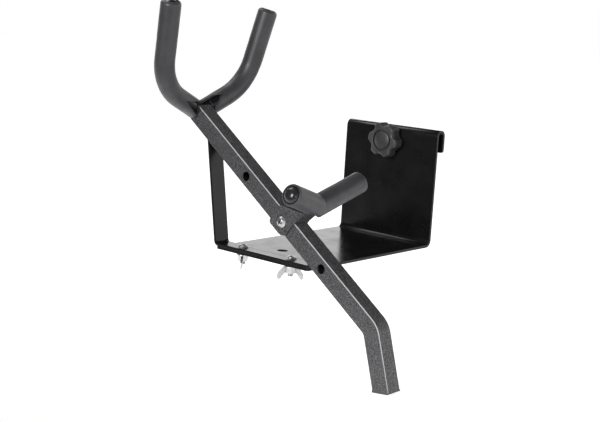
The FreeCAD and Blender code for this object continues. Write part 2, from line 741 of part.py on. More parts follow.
cradle_plugs = []
foam_r = dim("cradle_foam_radius")
bore_r = dim("foam_bore_radius")
for side_name, sign, path in (("near", -1, near_path), ("far", 1, far_path)):
    tip = path[-1].EndPoint
    ahead = TURN_CRADLE.multVec(V(0, sign * math.cos(RISE), math.sin(RISE)))
    tip_at = CRADLE_ORIGIN + TURN_CRADLE.multVec(V(0, tip.x, tip.y))
    mouth = abs(tip.x) / math.cos(RISE)
    length = mouth + dim("cradle_foam_overrun")
    blank = turned("sleeve_blank_" + side_name, [
        (bore_r, -8.0, 0), (foam_r, -8.0, 0), (foam_r, length, 1.4), (mouth_r, length, 0.4),
        (mouth_r, mouth, 0), (bore_r, mouth, 0),
    ])
    place(blank, tip_at - ahead * mouth, FreeCAD.Rotation(V(0, 0, 1), ahead))
    mitre = doc.addObject("Part::Box", "sleeve_mitre_" + side_name)
    mitre.Length, mitre.Width, mitre.Height = 60.0, 30.0, 60.0
    mitre_y = 0.0 if side_name == "near" else -30.0
    place(mitre, CRADLE_ORIGIN + V(-30.0, mitre_y, -30.0))
    sleeve = cut("cradle_foam_" + side_name, blank, [mitre, cradle_solid, notch_block])
    pieces.append(sleeve)
    cradle_plugs.append(end_plug("cradle_plug_" + side_name, tip_at, ahead))
pieces.append(group("cradle_end_plugs", cradle_plugs))

head_at = CLIP_ORIGIN - V(0, CHEEK_OUTER, 0)
head_turn = FreeCAD.Rotation(V(1, 0, 0), 90)
clip_screw = place(pan_screw("clip_screw", 2 * CHEEK_OUTER + 9.5), head_at, head_turn)
pieces.append(clip_screw)
clip_washer = turned("clip_washer", [(3.2, 0, 0), (6.2, 0, 0.3), (6.2, 1.5, 0.3), (3.2, 1.5, 0)])
place(clip_washer, CLIP_ORIGIN + V(0, CHEEK_OUTER, 0), Z_TO_Y)
pieces.append(clip_washer)

lock_nut = new_body("clip_lock_nut")
hexagon = new_sketch(lock_nut, "lock_nut_hexagon", "XY_Plane")
hex_r = 5.77
add_closed(hexagon, [
    (hex_r * math.cos(math.pi / 3 * i), hex_r * math.sin(math.pi / 3 * i), 0) for i in range(6)
])
pad(lock_nut, hexagon, "lock_nut_pad", "5")
collar = new_sketch(lock_nut, "lock_nut_collar", "XY_Plane", 5.0)
collar.addGeometry(Part.Circle(V(0, 0, 0), V(0, 0, 1), 4.6), False)
pad(lock_nut, collar, "lock_nut_collar_pad", "1.6")
nut_bore = new_sketch(lock_nut, "lock_nut_bore", "XY_Plane")
add_circle(nut_bore, 0, 0, "nut_bore_radius")
pocket(lock_nut, nut_bore, "lock_nut_bore_cut", "10", reverse=True)
place(lock_nut, CLIP_ORIGIN + V(0, CHEEK_OUTER + 1.5, 0), Z_TO_Y)
pieces.append(lock_nut)

# ---------------------------------------------------------------- weld beads


def bead(name, base, radius, length):
    """Straight weld bead along Y, centred on the arm's middle plane."""
    feature = doc.addObject("Part::Cylinder", name)
    feature.Radius = radius
    feature.Height = length
    return place(feature, base - V(0, length / 2, 0), Z_TO_Y)


bead_points = [
    ("bar_low_bead", V(TUBE_ORIGIN.x - 0.6, ARM_Y, BAR_TOP + 0.4), 2.4, 16.0),
    ("bar_high_bead", V(top_in[0] + 0.6, ARM_Y, top_in[1] - 0.6), 2.4, 16.0),
    ("bar_back_bead", V(top_out[0] - 0.6, ARM_Y, top_out[1] - 0.4), 2.0, 16.0),
]
for bead_name, at, bead_radius, bead_length in bead_points:
    blank = bead(bead_name, at, bead_radius, bead_length)
    pieces.append(cut("weld_" + bead_name[:-5], blank, [tube_solid, support]))

# ---------------------------------------------------------------- check and write
doc.recompute()
for item in doc.Objects:
    if "Invalid" in item.State or "Error" in item.State:
        raise RuntimeError("object failed to build: " + item.Name)
os.makedirs("parts", exist_ok=True)
for item in pieces:
    shape = item.Shape
    if shape.isNull() or not shape.isValid():
        raise RuntimeError("bad shape: " + item.Label)
    shape.exportStep(os.path.join("parts", item.Label + ".step"))
    box = shape.BoundBox
    print("%-20s solids %d volume %9.1f  x %7.1f %7.1f  y %7.1f %7.1f  z %7.1f %7.1f" % (
        item.Label, len(shape.Solids), shape.Volume, box.XMin, box.XMax, box.YMin, box.YMax,
        box.ZMin, box.ZMax))
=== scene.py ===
import math

import bmesh
import bpy
import numpy as np
from mathutils import Matrix, Vector, noise


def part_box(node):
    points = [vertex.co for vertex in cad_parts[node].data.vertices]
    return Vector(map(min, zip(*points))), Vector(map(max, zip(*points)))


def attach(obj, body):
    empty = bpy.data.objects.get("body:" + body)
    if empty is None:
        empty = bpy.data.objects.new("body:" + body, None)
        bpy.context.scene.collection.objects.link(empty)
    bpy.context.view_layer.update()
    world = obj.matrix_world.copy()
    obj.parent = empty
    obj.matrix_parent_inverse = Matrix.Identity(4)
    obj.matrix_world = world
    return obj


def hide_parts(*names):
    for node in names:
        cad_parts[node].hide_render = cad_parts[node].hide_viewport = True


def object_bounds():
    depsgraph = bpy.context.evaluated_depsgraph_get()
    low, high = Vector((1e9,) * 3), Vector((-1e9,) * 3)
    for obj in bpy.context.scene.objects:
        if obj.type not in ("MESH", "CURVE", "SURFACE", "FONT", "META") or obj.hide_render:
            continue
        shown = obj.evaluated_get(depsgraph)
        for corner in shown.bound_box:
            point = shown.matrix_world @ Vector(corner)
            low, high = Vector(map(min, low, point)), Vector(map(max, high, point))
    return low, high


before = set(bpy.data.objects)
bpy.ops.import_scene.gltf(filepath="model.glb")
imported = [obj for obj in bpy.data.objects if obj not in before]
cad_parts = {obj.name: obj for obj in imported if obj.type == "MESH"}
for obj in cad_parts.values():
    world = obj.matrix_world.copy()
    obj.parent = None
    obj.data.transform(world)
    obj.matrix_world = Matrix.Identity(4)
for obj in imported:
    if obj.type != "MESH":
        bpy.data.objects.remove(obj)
cad_low, cad_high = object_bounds()
MM = 0.001


def mm(x, y, z):
    """Point given in millimetres, in metres."""
    return Vector((x, y, z)) * MM


# ---------------------------------------------------------------- shared positions
SLOPE = math.radians(35.7)
ALONG = Vector((math.cos(SLOPE), 0, -math.sin(SLOPE)))
ACROSS = Vector((math.sin(SLOPE), 0, math.cos(SLOPE)))
TUBE_ORIGIN = mm(66, -212.5, -125.9)
YOKE_ORIGIN = TUBE_ORIGIN + (ALONG * -226 + ACROSS * 10) * MM
CLIP_ORIGIN = TUBE_ORIGIN + (ALONG * -53.5 + ACROSS * 10) * MM
CRADLE_ORIGIN = CLIP_ORIGIN + (ALONG * 17.1 + ACROSS * 39.8) * MM
YOKE_TURN = Matrix.Rotation(math.radians(13.3), 3, "Y")
CRADLE_TURN = Matrix.Rotation(math.radians(14.7), 3, "Y")
CRADLE_RISE = math.radians(19.4)
CLAMP_CENTRE = mm(0, 0, -14.2)
SHELF_BOTTOM = -132.0
BAR_TOP = -126.0


# ---------------------------------------------------------------- materials
def material(name, colour, roughness, metallic=0.0, **sockets):
    """Principled material; constants over the surface are set on the shader's sockets."""
    made = bpy.data.materials.new(name)
    made.use_nodes = True
    shader = made.node_tree.nodes["Principled BSDF"]
    shader.inputs["Base Color"].default_value = (*colour, 1)
    shader.inputs["Roughness"].default_value = roughness
    shader.inputs["Metallic"].default_value = metallic
    for socket, value in sockets.items():
        shader.inputs[socket.replace("_", " ")].default_value = value
    return made


def add_node(made, kind, **inputs):
    """New node with its input defaults."""
    node = made.node_tree.nodes.new(kind)
    for socket, value in inputs.items():
        node.inputs[socket.replace("_", " ")].default_value = value
    return node


def link(made, source, target):
    made.node_tree.links.new(source, target)


def object_coords(made, stretch=(1, 1, 1)):
    """Object coordinates, in metres, scaled along each axis."""
    coords = add_node(made, "ShaderNodeTexCoord")
    mapping = add_node(made, "ShaderNodeMapping")
    mapping.inputs["Scale"].default_value = stretch
    link(made, coords.outputs["Object"], mapping.inputs["Vector"])
    return mapping.outputs["Vector"]


def noise_value(made, coords, scale, detail=3.0, roughness=0.5):
    node = add_node(made, "ShaderNodeTexNoise", Scale=scale, Detail=detail, Roughness=roughness)
    link(made, coords, node.inputs["Vector"])
    return node.outputs["Fac"]


def ramp(made, value, stops):
    """Colour ramp from (position, grey or colour) stops."""
    node = add_node(made, "ShaderNodeValToRGB")
    elements = node.color_ramp.elements
    while len(elements) < len(stops):
        elements.new(0.5)
    for element, (position, colour) in zip(elements, stops):
        element.position = position
        rgb = colour if isinstance(colour, tuple) else (colour,) * 3
        element.color = (*rgb, 1)
    link(made, value, node.inputs["Fac"])
    return node.outputs["Color"]


RANGE_SOCKETS = ("From Min", "From Max", "To Min", "To Max")


def remap(made, value, low, high, to_low, to_high):
    node = add_node(made, "ShaderNodeMapRange")
    for socket, number in zip(RANGE_SOCKETS, (low, high, to_low, to_high)):
        node.inputs[socket].default_value = number
    link(made, value, node.inputs["Value"])
    return node.outputs["Result"]


def mix(made, factor, a, b, blend="MIX"):
    """Colour mix; a and b are sockets or colours."""
    node = made.node_tree.nodes.new("ShaderNodeMix")
    node.data_type = "RGBA"
    node.blend_type = blend
    colour_inputs = [s for s in node.inputs if s.type == "RGBA"]
    for socket, value in ((node.inputs[0], factor), (colour_inputs[0], a), (colour_inputs[1], b)):
        if isinstance(value, bpy.types.NodeSocket):
            link(made, value, socket)
        else:
            socket.default_value = value if isinstance(value, float) else (*value, 1)
    return next(s for s in node.outputs if s.type == "RGBA")


def bump_chain(made, layers):
    """Bump nodes in a row, from (height socket, strength, distance in metres) layers."""
    previous = None
    for height, strength, distance in layers:
        node = add_node(made, "ShaderNodeBump", Strength=strength, Distance=distance)
        link(made, height, node.inputs["Height"])
        if previous is not None:
            link(made, previous, node.inputs["Normal"])
        previous = node.outputs["Normal"]
    link(made, previous, made.node_tree.nodes["Principled BSDF"].inputs["Normal"])


def shader_input(made, name):
    return made.node_tree.nodes["Principled BSDF"].inputs[name]


def gloss_powder(name, colour=(0.006, 0.006, 0.0065), roughness=0.2):
    """Satin black powder coat: faint orange peel, dust specks and uneven gloss."""
    made = material(name, colour, roughness, Specular_IOR_Level=0.22)
    coords = object_coords(made)
    peel = noise_value(made, coords, 420, 2.0)
    cloud = noise_value(made, coords, 38, 4.0, 0.6)
    dust = noise_value(made, coords, 1500, 1.0)
    gloss = remap(made, cloud, 0.3, 0.7, roughness - 0.03, roughness + 0.07)
    link(made, gloss, shader_input(made, "Roughness"))
    specks = ramp(made, dust, [(0.0, 0.0), (0.71, 0.0), (0.76, 1.0)])
    light = tuple(min(1.0, c * 2.6) for c in colour)
    tone = mix(made, remap(made, cloud, 0.3, 0.7, 0.0, 1.0), colour, tuple(c * 1.5 for c in colour))
    link(made, mix(made, specks, tone, light), shader_input(made, "Base Color"))
    bump_chain(made, [(peel, 0.10, 0.00012), (dust, 0.05, 0.00003)])
    return made


def edge_mask(made, one, two):
    """One where the surface turns between two facing directions, as on a rounded long edge."""
    coords = add_node(made, "ShaderNodeTexCoord")
    sides = []
    for facing in (one, two):
        dot = made.node_tree.nodes.new("ShaderNodeVectorMath")
        dot.operation = "DOT_PRODUCT"
        dot.inputs[1].default_value = facing
        link(made, coords.outputs["Normal"], dot.inputs[0])
        sides.append(remap(made, dot.outputs["Value"], 0.3, 0.55, 0.0, 1.0))
    both = made.node_tree.nodes.new("ShaderNodeMath")
    both.operation = "MULTIPLY"
    for side, socket in zip(sides, both.inputs):
        link(made, side, socket)
    return both.outputs["Value"]


def sparkle_powder(name):
    """Dark grey powder coat with a coarse mottled skin, its flakes painted as bright glints, and a
    painted highlight with worn paint along the edge between front and upper faces.
    """
    made = material(name, (0.05, 0.05, 0.053), 0.45, Specular_IOR_Level=0.45)
    coords = object_coords(made)
    grain = noise_value(made, coords, 760, 2.0, 0.7)
    coarse = noise_value(made, coords, 520, 2.0, 0.5)
    cloud = noise_value(made, coords, 45, 3.0, 0.6)
    flakes = add_node(made, "ShaderNodeTexVoronoi", Scale=2300.0, Randomness=1.0)
    link(made, coords, flakes.inputs["Vector"])
    base = ramp(made, grain, [
        (0.38, (0.007, 0.007, 0.0075)), (0.5, (0.034, 0.034, 0.036)), (0.66, (0.15, 0.15, 0.155))])
    shade = ramp(made, coarse, [(0.35, 0.62), (0.65, 1.0)])
    base = mix(made, 1.0, base, shade, "MULTIPLY")
    worn = ramp(made, cloud, [(0.35, 0.8), (0.65, 1.0)])
    base = mix(made, 1.0, base, worn, "MULTIPLY")
    # Flakes painted into the colour as bright glints.
    flake_glint = ramp(made, flakes.outputs["Color"], [(0.0, 0.0), (0.7, 0.0), (0.86, 1.0)])
    base = mix(made, flake_glint, base, (0.12, 0.12, 0.125))
    # Painted highlight, together with worn paint, along the rounded edge between the front face and the
    # upper face.
    edge_highlight_and_wear = edge_mask(made, Vector((0, -1, 0)), ACROSS)
    link(made, mix(made, edge_highlight_and_wear, base, (0.42, 0.42, 0.43)), shader_input(made, "Base Color"))
    link(made, remap(made, grain, 0.3, 0.7, 0.58, 0.34), shader_input(made, "Roughness"))
    bump_chain(made, [(coarse, 0.25, 0.00018), (grain, 0.4, 0.00012)])
    return made


def foam_skin(name):
    """Closed-cell foam: fine pores with painted shade in them, soft sheen and worn paler patches."""
    made = material(
        name, (0.05, 0.05, 0.054), 0.45, Specular_IOR_Level=0.42, Sheen_Weight=0.06, Sheen_Roughness=0.5)
    coords = object_coords(made)
    pores = add_node(made, "ShaderNodeTexVoronoi", Scale=1900.0, Randomness=1.0)
    link(made, coords, pores.inputs["Vector"])
    grain = noise_value(made, coords, 900, 3.0, 0.65)
    patch = noise_value(made, coords, 60, 4.0, 0.6)
    base = ramp(made, patch, [(0.3, (0.030, 0.030, 0.033)), (0.7, (0.050, 0.049, 0.054))])
    # Painted shade in the pores: the colour darkens where the bump sinks into pits.
    pore_shade = ramp(made, pores.outputs["Distance"], [(0.05, 0.6), (0.45, 1.0)])
    base = mix(made, 1.0, base, pore_shade, "MULTIPLY")
    shade = ramp(made, grain, [(0.35, 0.62), (0.65, 1.0)])
    link(made, mix(made, 0.5, base, shade, "MULTIPLY"), shader_input(made, "Base Color"))
    link(made, remap(made, patch, 0.3, 0.7, 0.5, 0.4), shader_input(made, "Roughness"))
    pits = pores.outputs["Distance"]
    bump_chain(made, [(patch, 0.12, 0.0005), (grain, 0.2, 0.00018), (pits, 0.22, 0.00012)])
    return made


def scaled(colour, factor):
    """Colour made darker or lighter."""
    return tuple(channel * factor for channel in colour)


def zinc(name, colour=(0.62, 0.62, 0.63), roughness=0.3):
    """Bright zinc plating with cloudy patches and fine drag lines."""
    made = material(name, colour, roughness, metallic=1.0)
    coords = object_coords(made)
    cloud = noise_value(made, coords, 300, 3.0, 0.6)
    lines = noise_value(made, object_coords(made, (1.0, 1.0, 14.0)), 420, 2.0)
    warm = (colour[0], colour[1], colour[2] * 0.97)
    tint = ramp(made, cloud, [(0.3, scaled(colour, 0.72)), (0.7, warm)])
    link(made, tint, shader_input(made, "Base Color"))
    gloss = remap(made, cloud, 0.3, 0.7, roughness - 0.06, roughness + 0.14)
    link(made, gloss, shader_input(made, "Roughness"))
    bump_chain(made, [(lines, 0.12, 0.00004), (cloud, 0.1, 0.00008)])
    return made


def moulded(name, colour, roughness, pebble):
    """Moulded plastic with a spark-eroded skin and faint flow marks."""
    made = material(name, colour, roughness, Specular_IOR_Level=0.4)
    coords = object_coords(made)
    skin = noise_value(made, coords, pebble, 2.0)
    flow = noise_value(made, object_coords(made, (1.0, 1.0, 0.3)), 90, 3.0, 0.55)
    tone = ramp(made, flow, [(0.3, scaled(colour, 0.8)), (0.7, scaled(colour, 1.25))])
    link(made, tone, shader_input(made, "Base Color"))
    gloss = remap(made, flow, 0.3, 0.7, roughness - 0.04, roughness + 0.08)
    link(made, gloss, shader_input(made, "Roughness"))
    bump_chain(made, [(flow, 0.08, 0.0002), (skin, 0.18, 0.00007)])
    return made


GLOSS = gloss_powder("black_gloss_powder")
WELD = gloss_powder("black_weld_powder", (0.008, 0.008, 0.009), 0.24)
SPARKLE = sparkle_powder("grey_sparkle_powder")
FOAM = foam_skin("grey_foam")
ZINC = zinc("zinc_plate")
STEEL = zinc("stud_steel", (0.42, 0.42, 0.43), 0.36)
GRIP = moulded("grip_plastic", (0.034, 0.034, 0.035), 0.42, 1300)
# Dark steel for the faces of the screws' cross recesses: painted shade in the recess.
RECESS_SHADE = zinc("recess_painted_shade", (0.1, 0.1, 0.1), 0.45)
DOME = moulded("dome_plastic", (0.016, 0.016, 0.017), 0.2, 600)
FOOT = moulded("foot_plastic", (0.045, 0.045, 0.047), 0.45, 1500)
PAD = moulded("pad_plastic", (0.02, 0.02, 0.021), 0.5, 1500)

NODE_MATERIALS = {
    "hook_bracket": GLOSS, "support_bar": GLOSS, "yoke_tube": GLOSS, "cradle_tube": GLOSS,
    "clinch_nut": ZINC, "clamp_stud": STEEL, "pressure_pad": PAD,
    "arm_tube": SPARKLE, "cradle_clip": SPARKLE, "foot_plug": FOOT,
    "wing_washer_left": ZINC, "wing_washer_right": ZINC, "clip_washer": ZINC, "clip_lock_nut": ZINC,
    "yoke_end_plugs": DOME, "cradle_end_plugs": DOME,
}
EDGE_BREAKS = {
    "hook_bracket": 0.5, "support_bar": 0.5, "cradle_clip": 0.3, "arm_tube": 0.15,
    "clip_lock_nut": 0.2, "foot_plug": 0.3,
}
for node_name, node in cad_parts.items():
    if node_name in NODE_MATERIALS:
        node.data.materials.clear()
        node.data.materials.append(NODE_MATERIALS[node_name])
    if node_name in EDGE_BREAKS:
        weld = node.modifiers.new("weld", "WELD")
        weld.merge_threshold = 1e-6
        bevel = node.modifiers.new("edge_break", "BEVEL")
        bevel.width = EDGE_BREAKS[node_name] * MM
        bevel.segments = 2
        bevel.limit_method = "ANGLE"
        bevel.angle_limit = math.radians(40)
        bevel.harden_normals = False


# ---------------------------------------------------------------- mesh helpers
def new_piece(name, vertices, faces, made, smooth=True):
    """Mesh object in the row frame, in metres."""
    mesh = bpy.data.meshes.new(name)
    mesh.from_pydata([tuple(v) for v in vertices], [], faces)
    mesh.validate()
    shell = bmesh.new()
    shell.from_mesh(mesh)
    bmesh.ops.remove_doubles(shell, verts=shell.verts, dist=1e-7)
    bmesh.ops.recalc_face_normals(shell, faces=shell.faces)
    shell.to_mesh(mesh)
    shell.free()
    mesh.materials.append(made)
    for polygon in mesh.polygons:
        polygon.use_smooth = smooth
    piece = bpy.data.objects.new(name, mesh)
    bpy.context.scene.collection.objects.link(piece)
    return piece


def auto_smooth(piece, degrees):
    """Sharp edges above an angle."""
    mesh = piece.data
    shell = bmesh.new()
    shell.from_mesh(mesh)
    for edge in shell.edges:
        edge.smooth = len(edge.link_faces) == 2 and edge.calc_face_angle(0.0) < math.radians(degrees)
    shell.to_mesh(mesh)
    shell.free()
    return piece


def apply_modifier(piece, kind, **settings):
    """Adds a modifier, bakes it into the mesh and returns the piece."""
    modifier = piece.modifiers.new("baked", kind)
    for key, value in settings.items():
        setattr(modifier, key, value)
    graph = bpy.context.evaluated_depsgraph_get()
    baked = bpy.data.meshes.new_from_object(piece.evaluated_get(graph))
    piece.modifiers.remove(modifier)
    piece.data = baked
    return piece


def carve(piece, cutter):
    """Boolean difference that keeps the cutter's material; the cutter is removed."""
    settings = {"operation": "DIFFERENCE", "solver": "EXACT", "material_mode": "TRANSFER"}
    apply_modifier(piece, "BOOLEAN", object=cutter, **settings)
    bpy.data.objects.remove(cutter)
    return piece


def frames_along(points):
    """Tangent, side and up at each point of a smooth line, without twist."""
    points = [Vector(p) for p in points]
    tangents = []
    for i in range(len(points)):
        tangents.append((points[min(i + 1, len(points) - 1)] - points[max(i - 1, 0)]).normalized())
    side = tangents[0].orthogonal().normalized()
    frames = []
    for tangent in tangents:
        side = (side - tangent * side.dot(tangent)).normalized()
        frames.append((tangent, side, tangent.cross(side)))
    return frames


def swept(name, points, radii, made, sides=48, wobble=None):
    """Closed bar along a line; radii holds one radius for each point."""
    vertices, faces = [], []
    for i, (point, (_, side, up)) in enumerate(zip(points, frames_along(points))):
        for k in range(sides):
            angle = 2 * math.pi * k / sides
            direction = side * math.cos(angle) + up * math.sin(angle)
            radius = radii[i] + (wobble(Vector(point) + direction * radii[i]) if wobble else 0.0)
            vertices.append(Vector(point) + direction * radius)
    for i in range(len(points) - 1):
        for k in range(sides):
            a, b = i * sides + k, i * sides + (k + 1) % sides
            faces.append((a, b, b + sides, a + sides))
    faces.append(tuple(reversed(range(sides))))
    faces.append(tuple(range((len(points) - 1) * sides, len(points) * sides)))
    return new_piece(name, vertices, faces, made)


def lathed(profile, base, axis, sides=64, closed=True):
    """Vertices and faces of a turned shape; profile is (radius, height) in metres."""
    axis = Vector(axis).normalized()
    side = axis.orthogonal().normalized()
    up = axis.cross(side)
    vertices, faces = [], []
    for radius, height in profile:
        for k in range(sides):
            angle = 2 * math.pi * k / sides
            outward = side * math.cos(angle) + up * math.sin(angle)
            vertices.append(base + axis * height + outward * radius)
    rows = len(profile)
    for i in range(rows if closed else rows - 1):
        j = (i + 1) % rows
        for k in range(sides):
            n = (k + 1) % sides
            faces.append((i * sides + k, i * sides + n, j * sides + n, j * sides + k))
    return vertices, faces


# Radius in millimetres that stands for a turned shape's axis, so that its end stays a small ring.
AXIS_R = 0.02


def rounded_profile(corners, steps=6):
    """(radius, height) outline in metres from (r, z, rounding) corners in millimetres."""
    outline = []
    count = len(corners)
    for i, (r, z, rounding) in enumerate(corners):
        here = Vector((r, z))
        if rounding == 0:
            outline.append((r * MM, z * MM))
            continue
        before = Vector(corners[i - 1][:2]) - here
        after = Vector(corners[(i + 1) % count][:2]) - here
        half = before.angle(after) / 2
        reach = min(rounding / math.tan(half), 0.48 * before.length, 0.48 * after.length)
        bend = reach * math.tan(half)
        middle = here + (before.normalized() + after.normalized()).normalized() * (bend / math.sin(half))
        start = here + before.normalized() * reach - middle
        end = here + after.normalized() * reach - middle
        for step in range(steps + 1):
            turn = start.slerp(end, step / steps) if start.length > 1e-9 else start
            outline.append(((middle + turn).x * MM, (middle + turn).y * MM))
    return outline


def arc_points(centre, start, end, steps):
    """Points from start to end round a centre, in the plane, by the shorter way."""
    first = math.atan2(start[1] - centre[1], start[0] - centre[0])
    last = math.atan2(end[1] - centre[1], end[0] - centre[0])
    turn = (last - first + math.pi) % (2 * math.pi) - math.pi
    radius = math.hypot(start[0] - centre[0], start[1] - centre[1])
    return [
        (centre[0] + radius * math.cos(first + turn * i / steps),
         centre[1] + radius * math.sin(first + turn * i / steps))
        for i in range(steps + 1)
    ]


def resample(points, step):
    """Evenly spaced points along a polyline."""
    line = np.array(points, float)
    lengths = np.concatenate([[0], np.cumsum(np.linalg.norm(np.diff(line, axis=0), axis=1))])
    wanted = np.linspace(0, lengths[-1], max(2, int(lengths[-1] / step) + 1))
    columns = [np.interp(wanted, lengths, line[:, k]) for k in range(line.shape[1])]
    return list(zip(*columns))


# ---------------------------------------------------------------- yoke sleeve
FIRST_BEND, FIRST_RISE = 15.0, math.radians(26.0)
RAMP, SECOND_BEND, SPLAY = 33.0, 55.4, math.radians(6.9)
NEAR_ARM, FAR_ARM, YOKE_OVERRUN = 55.2, 50.2, 7.8


def yoke_half(arm):
    """Half of the yoke's centreline in its own plane, in millimetres, with its straight arm's length."""
    a = (FIRST_BEND * math.sin(FIRST_RISE), FIRST_BEND * (1 - math.cos(FIRST_RISE)))
    b = (a[0] + math.cos(FIRST_RISE) * RAMP, a[1] + math.sin(FIRST_RISE) * RAMP)
    centre = (b[0] - math.sin(FIRST_RISE) * SECOND_BEND, b[1] + math.cos(FIRST_RISE) * SECOND_BEND)
    c = (centre[0] + math.cos(SPLAY) * SECOND_BEND, centre[1] - math.sin(SPLAY) * SECOND_BEND)
    d = (c[0] + math.sin(SPLAY) * arm, c[1] + math.cos(SPLAY) * arm)
    points = arc_points((0, FIRST_BEND), (0, 0), a, 10)
    points += arc_points(centre, b, c, 40)
    points.append(d)
    return points


def yoke_line(extra, step):
    """Whole centreline of the yoke as row-frame points in metres."""
    near, far = yoke_half(NEAR_ARM + extra), yoke_half(FAR_ARM + extra)
    flat = [(-y, z) for y, z in reversed(near[1:])] + far
    flat = resample(flat, step)
    return [YOKE_ORIGIN + YOKE_TURN @ mm(0, y, z) for y, z in flat]


def end_rounding(line, radius, shoulder):
    """Radius along a line, pulled in at both ends like a moulded foam tip."""
    lengths = [0.0]
    for a, b in zip(line, line[1:]):
        lengths.append(lengths[-1] + (Vector(b) - Vector(a)).length)
    radii = []
    for length in lengths:
        near = min(length, lengths[-1] - length)
        drop = max(0.0, shoulder - near)
        radii.append(radius - shoulder + math.sqrt(max(0.0, shoulder ** 2 - drop ** 2)))
    return radii


def foam_wobble(point):
    """Slow unevenness of the foam's skin."""
    return 0.00016 * noise.noise(point * 42.0) + 0.00006 * noise.noise(point * 170.0)


def dense_ends(line, shoulder, count):
    """Extra points over the first and last stretch, so that the rounded tips stay smooth."""
    line = [Vector(p) for p in line]
    start, end = line[0], line[-1]
    clear = shoulder * 1.05
    inner = [p for p in line if (p - start).length > clear and (p - end).length > clear]
    steps = [shoulder * (1 - math.cos(math.pi / 2 * i / count)) for i in range(count + 1)]
    head = [start + (inner[0] - start).normalized() * s for s in steps]
    tail = [end + (inner[-1] - end).normalized() * s for s in reversed(steps)]
    return head + inner + tail


FOAM_R, FOAM_BORE = 11.0 * MM, 8.06 * MM
MOUTH_R = 9.6 * MM
SHOULDER = 1.3 * MM
TIP_ROUNDING = 4.2 * MM
sleeve_line = dense_ends(yoke_line(YOKE_OVERRUN, 2.2), TIP_ROUNDING, 10)
yoke_sleeve = swept(
    "yoke_sleeve", sleeve_line, end_rounding(sleeve_line, FOAM_R, TIP_ROUNDING), FOAM, 72, foam_wobble)
bore_line = yoke_line(YOKE_OVERRUN + 2.0, 2.2)
carve(yoke_sleeve, swept("bore_cutter", bore_line, [FOAM_BORE] * len(bore_line), FOAM, 48))


def prism(name, outline, origin, turn, low, high):
    """Bar with a flat outline in the local YZ plane, from low to high along local X, all in mm."""
    count = len(outline)
    vertices = [origin + turn @ mm(x, y, z) for x in (low, high) for y, z in outline]
    faces = [tuple(range(count)), tuple(reversed(range(count, 2 * count)))]
    faces += [(k, (k + 1) % count, count + (k + 1) % count, count + k) for k in range(count)]
    return new_piece(name, vertices, faces, FOAM, smooth=False)


for sign, arm in ((-1, NEAR_ARM), (1, FAR_ARM)):
    tip = Vector((0, sign * yoke_half(arm)[-1][0], yoke_half(arm)[-1][1])) * MM
    ahead = Vector((0, sign * math.sin(SPLAY), math.cos(SPLAY)))
    hollow = [(AXIS_R, 0), (9.6, 0), (9.55, 1.6), (9.1, 3.3), (8.3, 4.9), (7.2, 6.2), (6.2, 7.0),
              (5.8, 7.6), (6.2, 8.2), (6.4, 12.0), (AXIS_R, 12.0)]
    hollow = [(radius * MM, height * MM) for radius, height in hollow]
    vertices, faces = lathed(hollow, YOKE_ORIGIN + YOKE_TURN @ tip, YOKE_TURN @ ahead)
    carve(yoke_sleeve, new_piece("mouth_cutter", vertices, faces, FOAM))

SLIT = [
    (25.4, 20.7), (-3.0, 12.5), (-34.4, 15.4), (-13.3, -1.3), (-10.6, -16.0), (10.6, -16.0), (13.0, 4.7),
]
carve(yoke_sleeve, prism("slit_cutter", SLIT, YOKE_ORIGIN, YOKE_TURN, -0.2, 17.0))
tube_block = [(y, z) for y, z in ((-10.1, -0.1), (10.1, -0.1), (10.1, 20.1), (-10.1, 20.1))]
block_turn = Matrix((ALONG, Vector((0, 1, 0)), ACROSS)).transposed()
carve(yoke_sleeve, prism("arm_cutter", tube_block, TUBE_ORIGIN, block_turn, -224.1, -150.0))
auto_smooth(yoke_sleeve, 38)
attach(yoke_sleeve, "rack")
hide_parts("yoke_foam")

# ---------------------------------------------------------------- cradle sleeves
CRADLE_BEND, CRADLE_OVERRUN, CRADLE_R = 9.0, 3.5, 11.5
UPRIGHT = Matrix.Identity(3)
CRADLE_ARMS = (("near", -1, 45.0, "cradle_foam_near"), ("far", 1, 61.0, "cradle_foam_far"))
for side_name, sign, arm, node_name in CRADLE_ARMS:
    ahead = CRADLE_TURN @ Vector((0, sign * math.cos(CRADLE_RISE), math.sin(CRADLE_RISE)))
    straight = arm - CRADLE_BEND * CRADLE_RISE
    tip_y = CRADLE_BEND * math.sin(CRADLE_RISE) + math.cos(CRADLE_RISE) * straight
    tip_z = CRADLE_BEND * (1 - math.cos(CRADLE_RISE)) + math.sin(CRADLE_RISE) * straight
    tip = CRADLE_ORIGIN + CRADLE_TURN @ mm(0, sign * tip_y, tip_z)
    start = tip - ahead * (tip_y / math.cos(CRADLE_RISE) + 8.0) * MM
    end = tip + ahead * CRADLE_OVERRUN * MM
    count = int((end - start).length / (2.0 * MM))
    line = dense_ends([start.lerp(end, i / count) for i in range(count + 1)], SHOULDER, 6)
    radii = end_rounding(line, CRADLE_R * MM, SHOULDER)
    sleeve = swept("cradle_sleeve_" + side_name, line, radii, FOAM, 72, foam_wobble)
    bore = [start - ahead * MM, tip + ahead * 5 * MM]
    carve(sleeve, swept("bore_cutter", bore, [FOAM_BORE] * 2, FOAM, 48))
    carve(sleeve, swept("mouth_cutter", [tip, tip + ahead * 9 * MM], [MOUTH_R] * 2, FOAM, 64))
    inner = -0.04 * sign
    mitre = [(inner, -30.0), (-sign * 30.0, -30.0), (-sign * 30.0, 30.0), (inner, 30.0)]
    carve(sleeve, prism("mitre_cutter", mitre, CRADLE_ORIGIN, UPRIGHT, -30.0, 30.0))
    notch = [(-14.0, -2.6), (14.0, -2.6), (14.0, 37.4), (-14.0, 37.4)]
    carve(sleeve, prism("notch_cutter", notch, CLIP_ORIGIN, block_turn, 2.0, 26.0))
    auto_smooth(sleeve, 38)
    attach(sleeve, "cradle")
    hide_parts(node_name)


